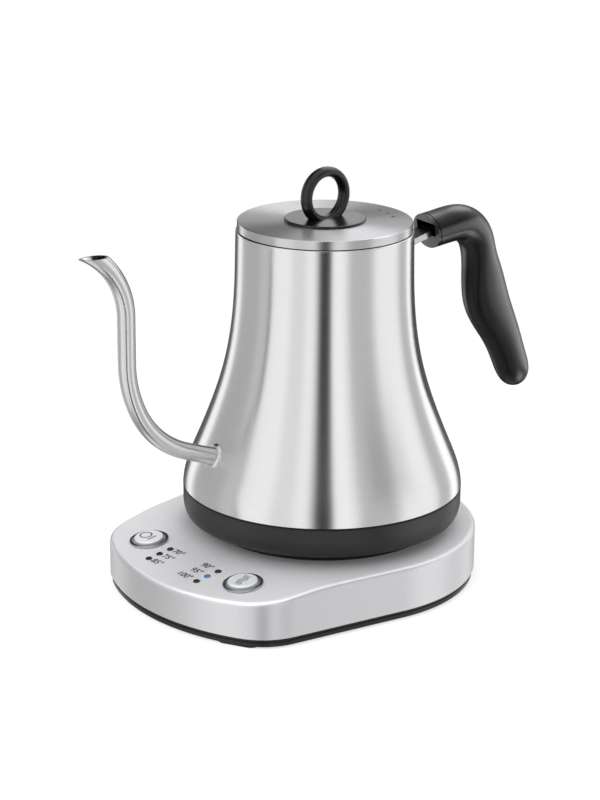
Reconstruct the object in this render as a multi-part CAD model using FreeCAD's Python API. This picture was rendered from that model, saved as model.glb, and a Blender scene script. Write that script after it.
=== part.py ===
import FreeCAD, Part
import math
import os

# Electric gooseneck kettle standing on its power base, in millimetres, +Z up.
# The origin is on the table, on the kettle's axis. The spout points to -X and the handle to +X.
# The base's own frame has its front towards its local +X, and is turned about the kettle's axis.

V = FreeCAD.Vector
ORIGIN = V(0, 0, 0)
UP = V(0, 0, 1)
SLACK = 0.3

# Base outline: an arc round the kettle, two straight sides that taper, and a wide front arc.
BASE_TURN = 189.6
BACK_R = 77.8
FRONT_R = 108.2
CORNER_R = 29.5
SIDE_TAPER = 10.3
SKIN = 1.0
CHASSIS_INSET = 1.2
CHASSIS_WALL = 1.6
TOP_EDGE_R = 2.3

# Base heights above the table.
TRAY_INSET = 1.0
TRAY_BOTTOM = 1.0
TRAY_TOP = 5.0
TRAY_FLOOR = 3.5
TRAY_LIP_TOP = 9.0
SEAT_Z = 27.0
PANEL_SLOPE = 6.1
PANEL_BEND = 58.5
PANEL_BEND_R = 150.0

# Rubber feet, each a radius and an angle from the front, and the base's screws.
FOOT_LEN = 22.0
FOOT_W = 10.0
FOOT_SINK = 0.6
FOOT_PLACES = ((101.6, 26.0), (101.6, -26.0), (70.0, 130.0), (70.0, -130.0))
SCREW_PLACES = ((58.0, 52.0), (58.0, -52.0), (-55.0, 40.0), (-55.0, -40.0))
SCREW_BOSS_R = 4.0

# Cord inlet in the back of the base.
INLET_Z = 13.0
INLET_R = 5.0
INLET_BORE_R = 3.3

# Control panel: two round buttons and two rows of three indicator lenses.
PANEL_S = 82.2
BUTTON_T = 36.4
BUTTON_R = 7.3
BUTTON_RISE = 2.2
BUTTON_FLANGE_R = 9.0
BEZEL_R = 9.8
BEZEL_BORE = 8.2
BEZEL_FOOT_R = 9.3
BEZEL_GAP = 0.3
BEZEL_TOP = 0.9
LENS_R = 1.7
LENS_RISE = 0.6
LENS_S = -0.4
LENS_SHIFT = -1.4
LENS_T = 18.6
LENS_PITCH = 6.65
LIT_LENS = 4

# Control board, in heights along the panel's normal and places on the panel.
BOARD_TOP = -8.4
BOARD_T = 1.6
BOARD_X = 34.0
BOARD_Y = 92.0
BOARD_SHIFT = 4.0
BOARD_EDGE = 5.0
BOARD_POSTS = ((-9.0, 24.0), (-9.0, -24.0), (12.0, 30.0), (12.0, -30.0))
SWITCH_TOP = -4.2
STEM_TIP = -3.1

# Power board behind the connector, with the parts that stand on it.
POWER_S = -50.0
POWER_Z = 9.0

# Round connector on the kettle's axis.
SOCKET_HOLE = 26.0
TOWER_R = 16.0
TOWER_TOP = 41.6
SEAT_RING_R = 58.0
SEAT_TOP = 32.1
PLUG_R = 22.0
PLUG_FLANGE_R = 27.0
PLUG_FLANGE_T = 1.6
PLUG_TOP = 45.8
PIN_R = 2.4
CENTRE_BORE = 3.6
RING_SLOT = (8.4, 11.3)
BLADE = (9.4, 10.1)

# Kettle: the steel vessel's outer radius at heights above its lower edge.
SKIRT_BOTTOM = 32.4
STEEL_Z = 48.1
WALL = 0.8
VESSEL_PROFILE = (
    (70.0, 0.0),
    (68.0, 10.0),
    (64.1, 20.0),
    (56.1, 40.0),
    (49.8, 60.0),
    (46.0, 80.0),
    (44.3, 100.0),
    (43.8, 120.0),
    (43.6, 129.3),
)
RIM_Z = STEEL_Z + VESSEL_PROFILE[-1][1]
RIM_R = VESSEL_PROFILE[-1][0]
SKIRT_R = 70.0
SKIRT_WALL = 2.0
SKIRT_ROLL_R = 3.0
SKIRT_ROLL_H = 8.0
SEAL_H = 1.1
FLOOR_Z = 49.8
HEATER_R = 52.0
ELEMENT_R = 40.0
COVER_R = 65.4
COVER_T = 2.0
BOSS_CIRCLE = 59.0
BOSS_COUNT = 3
BOSS_R = 4.0

# Spout: one tube of constant bore in the XZ plane, from its root inside the vessel's wall.
# Each move is a straight length with no turn, or a radius and the angle that it turns.
SPOUT_R = 4.3
SPOUT_BORE_R = 3.6
SPOUT_ROOT = (-56.0, 68.7)
SPOUT_HEADING = 160.0
SPOUT_MOVES = (
    (23.5, 0.0),
    (45.0, -45.0),
    (62.0, -25.0),
    (22.4, 0.0),
    (38.0, 72.0),
)
MOUTH_Z = 179.2
SPOUT_COLLAR_R = 6.5
SPOUT_COLLAR_T = 1.5
SPOUT_COLLAR_REACH = 12.0

# Lid: a flat steel cap with a sleeve in the neck and a ring to lift it by.
LID_R = 42.9
LID_BOTTOM = 177.8
LID_TOP = 182.1
LID_YAW = 8.3
NECK_R = 38.05
SLEEVE_R = 37.3
SLEEVE_BOTTOM = 166.6
KNOB_DISC_R = 20.0
KNOB_DISC_TOP = 183.4
RING_Z = 194.0
RING_R = 11.9
RING_HALF_THICK = 2.5
RING_HALF_WIDE = 3.3
KNOB_SCREW_REACH = 1.4
VENT_R = 1.1
VENT_CIRCLE = 34.3
VENT_STEP = 12.4
VENT_YAW = -6.2

# Handle: its sections as centre x and z, direction below the horizontal, half depth and half width.
HANDLE_SECTIONS = (
    (60.2, 169.1, -9.0, 8.8, 11.5),
    (63.2, 169.5, -9.0, 8.8, 11.5),
    (67.2, 170.1, -9.0, 8.8, 11.4),
    (71.2, 170.7, -9.0, 8.9, 11.3),
    (80.5, 170.9, 12.0, 9.2, 10.8),
    (87.0, 167.2, 40.0, 9.3, 10.2),
    (90.8, 161.6, 62.0, 9.0, 9.7),
    (93.0, 153.6, 72.0, 9.2, 9.2),
    (95.1, 143.3, 74.0, 11.1, 9.2),
    (99.3, 126.8, 71.0, 12.6, 9.4),
    (104.0, 117.2, 66.0, 11.6, 9.4),
    (109.3, 107.3, 66.0, 10.2, 9.2),
    (114.4, 95.4, 68.0, 9.4, 8.8),
    (117.1, 88.8, 69.0, 9.0, 8.4),
    (119.1, 83.8, 69.0, 7.5, 7.0),
    (120.2, 80.9, 69.0, 5.0, 4.8),
    (120.7, 79.6, 69.0, 2.4, 2.2),
)

# Steel bar that carries the handle, the mouth of its slot, and the screws up into it.
TANG_W = 11.0
TANG_T = 3.0
TANG_RISE = 17.0
TANG_START = (42.5, 163.8)
TANG_LEN = 36.0
TANG_FIT = 0.25
SLOT_MOUTH_W = 16.0
SLOT_MOUTH_RISE = 3.2
SLOT_MOUTH_END = 26.0
SEAM_BACK = 1.2
SEAM_W = 0.5
HANDLE_SCREW_X = (66.0, 74.0)
HANDLE_SCREW_Z = 163.6


def turned(shape, angle, axis=UP, centre=ORIGIN):
    """Returns the shape turned about an axis by an angle in degrees."""
    shape.rotate(centre, axis, angle)
    return shape


def to_base(shape):
    """Places a shape of the base's own frame in the object's frame."""
    return turned(shape, BASE_TURN)


def cylinder(radius, low, high, x=0.0, y=0.0):
    """An upright cylinder between two heights."""
    return Part.makeCylinder(radius, high - low, V(x, y, low))


def ring(inner, outer, low, high, x=0.0, y=0.0):
    """An upright ring between two heights."""
    return cylinder(outer, low, high, x, y).cut(cylinder(inner, low - 1, high + 1, x, y))


def block(x_size, y_size, low, high, x=0.0, y=0.0):
    """A box centred on x and y between two heights."""
    return Part.makeBox(x_size, y_size, high - low, V(x - x_size / 2, y - y_size / 2, low))


def revolved(points):
    """A solid of revolution about Z from (radius, height) corners."""
    corners = [V(r, 0, z) for r, z in points]
    face = Part.Face(Part.makePolygon(corners + corners[:1]))
    return face.revolve(ORIGIN, UP, 360)


def fused(shapes):
    """One solid from overlapping solids."""
    return shapes[0].multiFuse(shapes[1:]).removeSplitter()


def polar(radius, angle):
    """A point in the XY plane at an angle in degrees."""
    return V(radius * math.cos(math.radians(angle)), radius * math.sin(math.radians(angle)), 0)


def save(name, shape):
    """Writes one node and reports its volume."""
    shape.exportStep("parts/%s.step" % name)
    report = (name, len(shape.Solids), shape.isValid(), shape.Volume)
    print("%-24s solids %d  valid %s  volume %.1f" % report)


# Base shells

def base_outline(inset, height):
    """The base's plan outline, moved inwards by inset, as a face."""
    back = BACK_R - inset
    front = FRONT_R - inset
    corner = CORNER_R - inset
    side = 90 - SIDE_TAPER
    corner_at = side - math.degrees(math.acos((back - corner) / (front - corner)))
    centre = polar(front - corner, corner_at)
    side_start = polar(back, side)
    side_end = centre + polar(corner, side)
    corner_mid = centre + polar(corner, (side + corner_at) / 2)
    front_start = polar(front, corner_at)
    half = [side_start, side_end, corner_mid, front_start]
    twin = [V(p.x, -p.y, 0) for p in half]
    edges = [
        Part.Arc(side_start, V(-back, 0, 0), twin[0]).toShape(),
        Part.LineSegment(twin[0], twin[1]).toShape(),
        Part.Arc(twin[1], twin[2], twin[3]).toShape(),
        Part.Arc(twin[3], V(front, 0, 0), front_start).toShape(),
        Part.Arc(front_start, corner_mid, side_end).toShape(),
        Part.LineSegment(side_end, side_start).toShape(),
    ]
    face = Part.Face(Part.Wire(edges))
    face.translate(V(0, 0, height))
    return face


def base_prism(inset, low, high):
    """The plan outline carried up between two heights."""
    return base_outline(inset, low).extrude(V(0, 0, high - low))


def panel_height(s):
    """Height of the sloping panel at a distance s in front of the kettle's axis."""
    return SEAT_Z - (s - PANEL_BEND) * math.tan(math.radians(PANEL_SLOPE))


def base_block(inset, drop, low):
    """A solid base whose top is flat round the kettle and slopes down to the front."""
    reach = FRONT_R + 20
    half_turn = math.radians(PANEL_SLOPE / 2)
    run = PANEL_BEND_R * math.tan(half_turn)
    flat_end = V(PANEL_BEND - run, 0, SEAT_Z - drop)
    slope_x = PANEL_BEND + run * math.cos(2 * half_turn)
    slope_start = V(slope_x, 0, panel_height(slope_x) - drop)
    sag = PANEL_BEND_R * (1 - math.cos(half_turn))
    middle = V(flat_end.x + PANEL_BEND_R * math.sin(half_turn), 0, SEAT_Z - drop - sag)
    front_top = V(reach, 0, panel_height(reach) - drop)
    edges = [
        Part.LineSegment(V(-reach, 0, SEAT_Z - drop), flat_end).toShape(),
        Part.Arc(flat_end, middle, slope_start).toShape(),
        Part.LineSegment(slope_start, front_top).toShape(),
        Part.LineSegment(front_top, V(reach, 0, low)).toShape(),
        Part.LineSegment(V(reach, 0, low), V(-reach, 0, low)).toShape(),
        Part.LineSegment(V(-reach, 0, low), V(-reach, 0, SEAT_Z - drop)).toShape(),
    ]
    wedge = Part.Face(Part.Wire(edges)).extrude(V(0, 2 * reach, 0))
    wedge.translate(V(0, -reach, 0))
    return base_prism(inset, low, SEAT_Z + 5).common(wedge)


def rounded_top(solid):
    """Rounds the edge between the base's top and its wall."""
    rim = []
    for edge in solid.Edges:
        middle = edge.CenterOfMass
        upper = min(v.Z for v in edge.Vertexes) > panel_height(FRONT_R) - 2
        upright = abs(edge.Vertexes[0].Z - edge.Vertexes[-1].Z) > 8
        bend_line = abs(middle.y) < 1 and 40 < middle.x < 80
        if upper and not upright and not bend_line:
            rim.append(edge)
    return solid.makeFillet(TOP_EDGE_R, rim)


PANEL_PLACE = FreeCAD.Placement(ORIGIN, FreeCAD.Rotation(UP, BASE_TURN)).multiply(
    FreeCAD.Placement(V(PANEL_S, 0, panel_height(PANEL_S)), FreeCAD.Rotation(V(0, 1, 0), PANEL_SLOPE))
)


def on_panel(shape):
    """Places a shape made round the panel's centre, with its Z along the panel's normal."""
    shape.Placement = PANEL_PLACE.multiply(shape.Placement)
    return shape


def lens_places():
    """The six indicator lenses as (down the slope, across) in the panel's frame."""
    sides = [LENS_SHIFT - LENS_T, LENS_SHIFT + LENS_T]
    return [(LENS_S + row * LENS_PITCH, side) for side in sides for row in range(3)]


def panel_cuts(button_hole, lens_hole, depth):
    """Holes for the buttons and lenses, already placed."""
    holes = [cylinder(button_hole, -depth, 3, 0, side * BUTTON_T) for side in (-1, 1)]
    holes += [cylinder(lens_hole, -depth, 3, x, y) for x, y in lens_places()]
    return [on_panel(hole) for hole in holes]


def inlet_cylinder(radius, start, end):
    """A cylinder along the cord inlet's axis, through the back of the base."""
    return to_base(Part.makeCylinder(radius, end - start, V(-end, 0, INLET_Z), V(1, 0, 0)))


def foot_pad(radius, angle):
    """A rubber pad with round ends, lying along the base's edge and sunk in the tray."""
    half = (FOOT_LEN - FOOT_W) / 2
    top = TRAY_BOTTOM + FOOT_SINK
    pad = fused([
        block(FOOT_W, 2 * half, 0, top),
        cylinder(FOOT_W / 2, 0, top, 0, half),
        cylinder(FOOT_W / 2, 0, top, 0, -half),
    ])
    pad.translate(V(radius, 0, 0))
    return turned(pad, angle)


def screw(x, y, seat, tip, head_r, shank_r, head_h=0.9):
    """A pan-head screw pointing up, its head under the seat height, with a cross recess."""
    body = fused([cylinder(head_r, seat - head_h, seat, x, y), cylinder(shank_r, seat - 0.2, tip, x, y)])
    for x_size, y_size in ((2.6, 0.7), (0.7, 2.6)):
        body = body.cut(block(x_size, y_size, seat - head_h - 1, seat - head_h + 0.5, x, y))
    return body


def build_cover():
    """The steel cover of the base, open below."""
    outer = rounded_top(base_block(0, 0, TRAY_TOP))
    cover = to_base(outer.cut(base_block(SKIN, SKIN, TRAY_TOP - 1)))
    cover = cover.cut(cylinder(SOCKET_HOLE, TRAY_TOP, SEAT_Z + 1))
    for hole in panel_cuts(BEZEL_BORE + 0.5, LENS_R + 0.1, 4):
        cover = cover.cut(hole)
    save("base_cover", cover.cut(inlet_cylinder(INLET_R + 0.2, BACK_R - 6, BACK_R + 4)))


def build_chassis():
    """The plastic chassis under the cover, with screw bosses and posts for the control board."""
    inner = CHASSIS_INSET + CHASSIS_WALL
    chassis = base_block(CHASSIS_INSET, CHASSIS_INSET, TRAY_TOP + 0.2)
    chassis = chassis.cut(base_block(inner, inner, TRAY_TOP))
    room = base_block(inner - 0.8, inner - 0.8, TRAY_TOP)
    for x, y in SCREW_PLACES:
        chassis = chassis.fuse(cylinder(SCREW_BOSS_R, TRAY_TOP + 0.2, SEAT_Z, x, y).common(room))
        chassis = chassis.cut(cylinder(1.4, TRAY_TOP, 16, x, y))
    chassis = to_base(chassis)
    post_room = to_base(room)
    for x, y in BOARD_POSTS:
        post = on_panel(cylinder(2.6, BOARD_TOP, 0, x, y)).common(post_room)
        chassis = chassis.fuse(post).cut(on_panel(cylinder(0.9, BOARD_TOP - 1, BOARD_TOP + 4, x, y)))
    chassis = chassis.cut(cylinder(SOCKET_HOLE, TRAY_TOP, SEAT_Z + 1))
    for hole in panel_cuts(BUTTON_FLANGE_R + 0.8, LENS_R + 0.2, 4.5):
        chassis = chassis.cut(hole)
    chassis = chassis.cut(inlet_cylinder(INLET_R + 0.2, BACK_R - 6, BACK_R + 4))
    save("base_chassis", chassis.removeSplitter())


def build_tray():
    """The tray that closes the base, with a fine groove round it, its feet and its screws."""
    tray = base_prism(TRAY_INSET, TRAY_BOTTOM, TRAY_TOP).cut(base_prism(2.8, TRAY_FLOOR, TRAY_TOP + 1))
    groove = base_prism(0, 3.0, 3.5).cut(base_prism(TRAY_INSET + 0.5, 2.9, 3.6))
    tray = tray.cut(groove)
    lip = base_prism(3.2, TRAY_FLOOR - 0.5, TRAY_LIP_TOP).cut(base_prism(4.4, 0, TRAY_LIP_TOP + 1))
    tray = tray.fuse(lip.cut(block(14, 20, 0, 20, -BACK_R, 0)))
    head_seat = TRAY_BOTTOM + 1.0
    for x, y in SCREW_PLACES:
        tray = tray.cut(cylinder(1.7, 0, 12, x, y)).cut(cylinder(3.3, 0, head_seat, x, y))
    for radius, angle in FOOT_PLACES:
        tray = tray.cut(foot_pad(radius, angle))
    save("base_tray", to_base(tray.removeSplitter()))

    feet = [foot_pad(radius, angle) for radius, angle in FOOT_PLACES]
    feet = [foot.makeFillet(0.6, [e for e in foot.Edges if e.CenterOfMass.z < 0.1]) for foot in feet]
    save("base_feet", to_base(Part.makeCompound(feet)))

    screws = [screw(x, y, head_seat, 12, 3.1, 1.35) for x, y in SCREW_PLACES]
    save("base_screws", to_base(Part.makeCompound(screws)))


# Control panel

def button(side):
    """A round cap with a retaining flange under its bezel, and a stem."""
    cap = cylinder(BUTTON_R, -1.5, BUTTON_RISE, 0, side * BUTTON_T)
    cap = cap.makeFillet(0.7, [e for e in cap.Edges if e.CenterOfMass.z > BUTTON_RISE - 0.01])
    flange = cylinder(BUTTON_FLANGE_R, -2.4, -1.4, 0, side * BUTTON_T)
    stem = cylinder(2.0, STEM_TIP, -2.0, 0, side * BUTTON_T)
    return on_panel(fused([cap, flange, stem]))


def build_panel():
    """Buttons, bezels, lenses, and the board with its switches and lamps."""
    save("power_button", button(-1))
    save("temperature_button", button(1))

    bezels = []
    for side in (-1, 1):
        y = side * BUTTON_T
        plate = ring(BEZEL_BORE, BEZEL_R, BEZEL_GAP, BEZEL_TOP, 0, y)
        top_edges = [e for e in plate.Edges if e.CenterOfMass.z > BEZEL_TOP - 0.01]
        plate = plate.makeFillet(0.25, top_edges)
        foot = ring(BEZEL_BORE, BEZEL_FOOT_R, 0.0, BEZEL_GAP + 0.1, 0, y)
        collar = ring(BEZEL_BORE, BEZEL_BORE + 0.45, -SKIN, 0.2, 0, y)
        bezels.append(on_panel(fused([plate, foot, collar])))
    save("button_bezels", Part.makeCompound(bezels))

    lenses = []
    for x, y in lens_places():
        lens = cylinder(LENS_R, -6.0, LENS_RISE, x, y)
        top_edges = [e for e in lens.Edges if e.CenterOfMass.z > LENS_RISE - 0.01]
        lens = lens.makeFillet(LENS_RISE - 0.05, top_edges)
        lenses.append(on_panel(lens))
    save("lit_indicator_lens", lenses.pop(LIT_LENS))
    save("indicator_lenses", Part.makeCompound(lenses))

    board = block(BOARD_X, BOARD_Y, BOARD_TOP - BOARD_T, BOARD_TOP, BOARD_SHIFT, 0)
    for x, y in BOARD_POSTS:
        board = board.cut(cylinder(1.1, BOARD_TOP - 3, BOARD_TOP + 1, x, y))
    save("control_board", on_panel(board).common(to_base(base_prism(BOARD_EDGE, 0, SEAT_Z))))

    switches = []
    for side in (-1, 1):
        y = side * BUTTON_T
        case = block(6.2, 6.2, BOARD_TOP, SWITCH_TOP - 0.6, 0, y)
        switches.append(on_panel(fused([case, cylinder(1.7, SWITCH_TOP - 0.8, SWITCH_TOP, 0, y)])))
    save("button_switches", Part.makeCompound(switches))

    lamps = [on_panel(block(2.4, 1.6, BOARD_TOP, BOARD_TOP + 1.2, x, y)) for x, y in lens_places()]
    save("indicator_lamps", Part.makeCompound(lamps))

    screws = []
    for x, y in BOARD_POSTS:
        screws.append(on_panel(screw(x, y, BOARD_TOP - BOARD_T, BOARD_TOP + 3.5, 1.9, 0.85)))
    save("board_screws", Part.makeCompound(screws))


# Power side of the base and the round connector

def build_connector():
    """The base half of the connector with its contacts, and the kettle half that drops over it."""
    chassis_under = SEAT_Z - CHASSIS_INSET - CHASSIS_WALL
    flange = cylinder(SOCKET_HOLE + 5.0, chassis_under - 3.0, chassis_under - 0.2)
    socket = fused([cylinder(TOWER_R, 10.0, TOWER_TOP), flange])
    socket = socket.cut(cylinder(CENTRE_BORE, 24.0, TOWER_TOP + 1))
    socket = socket.cut(ring(RING_SLOT[0], RING_SLOT[1], 28.0, TOWER_TOP + 1))
    save("connector_socket", socket)

    sleeve = ring(3.0, CENTRE_BORE - 0.05, 24.0, TOWER_TOP - 1.5)
    outer_clip = ring(10.7, RING_SLOT[1] - 0.05, 28.0, TOWER_TOP - 1.5)
    inner_clip = ring(RING_SLOT[0] + 0.05, 8.8, 28.0, TOWER_TOP - 1.5)
    save("socket_contacts", Part.makeCompound([sleeve, outer_clip, inner_clip]))

    seat = revolved((
        (TOWER_R + SLACK, chassis_under),
        (SOCKET_HOLE - 0.4, chassis_under),
        (SOCKET_HOLE - 0.4, SEAT_Z),
        (SEAT_RING_R, SEAT_Z),
        (SEAT_RING_R - 1.2, SEAT_TOP),
        (SOCKET_HOLE + 4, SEAT_TOP),
        (SOCKET_HOLE + 2, SEAT_Z + 1.6),
        (TOWER_R + SLACK, SEAT_Z + 1.6),
    ))
    save("seat_ring", seat)

    flange_low = SKIRT_BOTTOM + COVER_T + SLACK
    flange_top = flange_low + PLUG_FLANGE_T
    plug = revolved((
        (PIN_R, TOWER_TOP + 0.6),
        (TOWER_R + 0.5, TOWER_TOP + 0.6),
        (TOWER_R + 0.5, SKIRT_BOTTOM + 0.3),
        (PLUG_R, SKIRT_BOTTOM + 0.3),
        (PLUG_R, flange_low),
        (PLUG_FLANGE_R, flange_low),
        (PLUG_FLANGE_R, flange_top),
        (PLUG_R, flange_top),
        (PLUG_R, PLUG_TOP),
        (PIN_R, PLUG_TOP),
    ))
    plug = plug.cut(ring(BLADE[0], BLADE[1], TOWER_TOP, PLUG_TOP - 1.5))
    save("connector_plug", plug)

    pin = cylinder(PIN_R, SKIRT_BOTTOM + 0.2, PLUG_TOP)
    pin = pin.makeFillet(1.2, [e for e in pin.Edges if e.CenterOfMass.z < SKIRT_BOTTOM + 0.3])
    blade = ring(BLADE[0], BLADE[1], SKIRT_BOTTOM + 2.2, PLUG_TOP - 1.5)
    save("plug_contacts", Part.makeCompound([pin, blade]))


def build_power_side():
    """The power board with its relay and supply module, and the cord's inlet in the back wall."""
    board_top = POWER_Z + BOARD_T
    save("power_board", to_base(block(30, 64, POWER_Z, board_top, POWER_S, 0)))
    save("relay", to_base(block(15, 19, board_top, 23.5, POWER_S - 2, 18)))
    save("supply_module", to_base(block(16, 22, board_top, 22.0, POWER_S - 2, -16)))

    wall_inside = BACK_R - CHASSIS_INSET - CHASSIS_WALL - 0.5
    inlet = inlet_cylinder(INLET_R, wall_inside - 1.8, BACK_R)
    inlet = inlet.fuse(inlet_cylinder(INLET_R + 2.0, wall_inside - 2.0, wall_inside))
    inlet = inlet.cut(inlet_cylinder(INLET_BORE_R, BACK_R - 8, BACK_R + 4))
    save("cord_inlet", inlet.removeSplitter())


# Kettle

def vessel_solid(offset):
    """The space inside a line drawn offset inwards from the vessel's outer profile."""
    points = [V(radius - offset, 0, STEEL_Z + height) for radius, height in VESSEL_PROFILE]
    curve = Part.BSplineCurve()
    curve.interpolate(points)
    edges = [
        Part.LineSegment(V(0, 0, STEEL_Z), points[0]).toShape(),
        curve.toShape(),
        Part.LineSegment(points[-1], V(0, 0, RIM_Z)).toShape(),
        Part.LineSegment(V(0, 0, RIM_Z), V(0, 0, STEEL_Z)).toShape(),
    ]
    return Part.Face(Part.Wire(edges)).revolve(ORIGIN, UP, 360)


def heading(angle):
    """A direction in the XZ plane at an angle above +X."""
    return V(math.cos(math.radians(angle)), 0, math.sin(math.radians(angle)))


def spout_path():
    """The spout's centre line: out of the vessel, up, and over to the mouth."""
    point = V(SPOUT_ROOT[0], 0, SPOUT_ROOT[1])
    angle = SPOUT_HEADING
    edges = []
    for size, turn in SPOUT_MOVES:
        if turn == 0:
            end = point + heading(angle) * size
            edges.append(Part.LineSegment(point, end).toShape())
        else:
            inward = math.copysign(90, turn)
            centre = point + heading(angle + inward) * size
            middle = centre - heading(angle + turn / 2 + inward) * size
            end = centre - heading(angle + turn + inward) * size
            edges.append(Part.Arc(point, middle, end).toShape())
        point = end
        angle += turn
    return Part.Wire(edges)


def spout_tube(radius):
    """A solid rod of the given radius along the spout's centre line."""
    circle = Part.makeCircle(radius, V(SPOUT_ROOT[0], 0, SPOUT_ROOT[1]), heading(SPOUT_HEADING))
    return spout_path().makePipeShell([Part.Wire(circle)], True, True)


def build_vessel():
    """The steel vessel with its floor and neck ring, and the spout with its collar."""
    outer = vessel_solid(0)
    water = vessel_solid(WALL)
    rod = spout_tube(SPOUT_R)
    bore = spout_tube(SPOUT_BORE_R)
    mouth_cut = block(60, 40, MOUTH_Z, MOUTH_Z + 40, -130, 0)
    save("vessel_shell", outer.cut(water).cut(rod))
    save("spout", rod.cut(bore).cut(mouth_cut).cut(water))

    root = V(SPOUT_ROOT[0], 0, SPOUT_ROOT[1])
    disc = Part.makeCylinder(SPOUT_COLLAR_R, SPOUT_COLLAR_REACH, root, heading(SPOUT_HEADING))
    save("spout_collar", disc.common(vessel_solid(-SPOUT_COLLAR_T)).cut(outer).cut(rod))

    floor_r = VESSEL_PROFILE[0][0] - WALL - 0.6
    save("vessel_floor", cylinder(floor_r, FLOOR_Z, FLOOR_Z + WALL).common(water))

    neck = revolved((
        (NECK_R, RIM_Z - 8.0),
        (NECK_R + 0.8, RIM_Z - 8.0),
        (NECK_R + 0.8, RIM_Z - 1.6),
        (RIM_R + 2, RIM_Z - 1.6),
        (RIM_R + 2, RIM_Z - 0.8),
        (NECK_R, RIM_Z - 0.8),
    ))
    save("neck_ring", neck.common(water))


def boss_places():
    """Centres of the skirt's screw bosses."""
    return [polar(BOSS_CIRCLE, 30 + 360 / BOSS_COUNT * i) for i in range(BOSS_COUNT)]


def skirt_outside(top):
    """A solid of the skirt's outline, whose lower edge rolls under as a quarter of an ellipse."""
    steps = [math.radians(90 * i / 8) for i in range(9)]
    roll = Part.BSplineCurve()
    roll.interpolate([
        V(SKIRT_R - SKIRT_ROLL_R * (1 - math.cos(a)), 0, SKIRT_BOTTOM + SKIRT_ROLL_H * (1 - math.sin(a)))
        for a in steps
    ])
    corners = [
        V(SKIRT_R - SKIRT_ROLL_R, 0, SKIRT_BOTTOM),
        V(0, 0, SKIRT_BOTTOM),
        V(0, 0, top),
        V(SKIRT_R, 0, top),
        V(SKIRT_R, 0, SKIRT_BOTTOM + SKIRT_ROLL_H),
    ]
    lines = [Part.LineSegment(a, b).toShape() for a, b in zip(corners, corners[1:])]
    face = Part.Face(Part.Wire([roll.toShape()] + lines))
    return face.revolve(ORIGIN, UP, 360)


def build_skirt():
    """The plastic skirt under the vessel, its seal and underside cover, and the heater inside."""
    top = STEEL_Z - SEAL_H
    profile = (
        (SKIRT_R, top),
        (SKIRT_R - SKIRT_WALL - 1, top),
        (SKIRT_R - SKIRT_WALL - 1, SKIRT_BOTTOM + COVER_T + 1.0),
        (COVER_R - 2.0, SKIRT_BOTTOM + COVER_T + 1.0),
        (COVER_R - 2.0, SKIRT_BOTTOM + COVER_T),
        (COVER_R + 0.1, SKIRT_BOTTOM + COVER_T),
        (COVER_R + 0.1, SKIRT_BOTTOM),
        (SKIRT_R, SKIRT_BOTTOM),
    )
    skirt = revolved(profile).common(skirt_outside(top))
    bosses = []
    for place in boss_places():
        boss = cylinder(BOSS_R, SKIRT_BOTTOM + COVER_T, top - 4, place.x, place.y)
        angle = math.degrees(math.atan2(place.y, place.x))
        web = turned(block(9.0, 2.4, SKIRT_BOTTOM + COVER_T + 0.5, top - 4, BOSS_CIRCLE + 4.2, 0), angle)
        bosses += [boss, web]
    skirt = fused([skirt] + bosses)
    for place in boss_places():
        skirt = skirt.cut(cylinder(1.4, SKIRT_BOTTOM, top - 6, place.x, place.y))
    save("skirt", skirt)
    save("skirt_seal", ring(66.0, SKIRT_R + 0.05, top, STEEL_Z))

    cover = ring(PLUG_R + SLACK, COVER_R, SKIRT_BOTTOM, SKIRT_BOTTOM + COVER_T)
    for place in boss_places():
        cover = cover.cut(cylinder(1.7, 0, 60, place.x, place.y))
        cover = cover.cut(cylinder(3.2, 0, SKIRT_BOTTOM + 1.0, place.x, place.y))
    save("underside_cover", cover)

    screws = [screw(p.x, p.y, SKIRT_BOTTOM + 1.0, SKIRT_BOTTOM + 7, 3.0, 1.35) for p in boss_places()]
    save("cover_screws", Part.makeCompound(screws))

    heater_low = FLOOR_Z - 3.2
    heater = cylinder(HEATER_R, heater_low, FLOOR_Z - 0.05)
    save("heater_plate", heater)
    element = Part.makeTorus(ELEMENT_R, 3.2, V(0, 0, heater_low - 3.25), UP, 0, 360, 300)
    save("heating_element", turned(element, 60))
    probe_at = polar(31.0, 40)
    save("temperature_probe", cylinder(2.6, heater_low - 6, heater_low - 0.05, probe_at.x, probe_at.y))


# Handle

def handle_section(x, z, down, half_depth, half_width):
    """An elliptical section of the handle, square to its direction."""
    direction = heading(-down)
    across = V(0, 1, 0)
    in_plane = direction.cross(across)
    long_first = half_depth >= half_width
    major, minor = max(half_depth, half_width), min(half_depth, half_width)
    ellipse = Part.Ellipse(ORIGIN, major, minor + (0 if major > minor else -1e-4))
    x_axis = in_plane if long_first else across
    start = 0 if long_first else math.pi / 2
    frame = FreeCAD.Rotation(x_axis, direction.cross(x_axis), direction, "ZXY")
    wire = Part.Wire(ellipse.toShape(start, start + 2 * math.pi))
    wire.Placement = FreeCAD.Placement(V(x, 0, z), frame)
    return wire


def along_bar(length, width, low, high):
    """A block that starts where the handle's bar starts and rises with it."""
    bar = turned(block(length, width, low, high, length / 2, 0), -TANG_RISE, V(0, 1, 0))
    bar.translate(V(TANG_START[0], 0, TANG_START[1]))
    return bar


def handle_seam():
    """A fine groove round the handle just behind its end face."""
    x, z, down, half_depth, half_width = HANDLE_SECTIONS[0]
    along = heading(-down)
    outer = Part.Face(handle_section(x, z, down, half_depth + 3, half_width + 3))
    inner = Part.Face(handle_section(x, z, down, half_depth - SEAM_W, half_width - SEAM_W))
    groove = outer.extrude(along * SEAM_W).cut(inner.extrude(along * SEAM_W))
    groove.translate(along * SEAM_BACK)
    return groove


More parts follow.
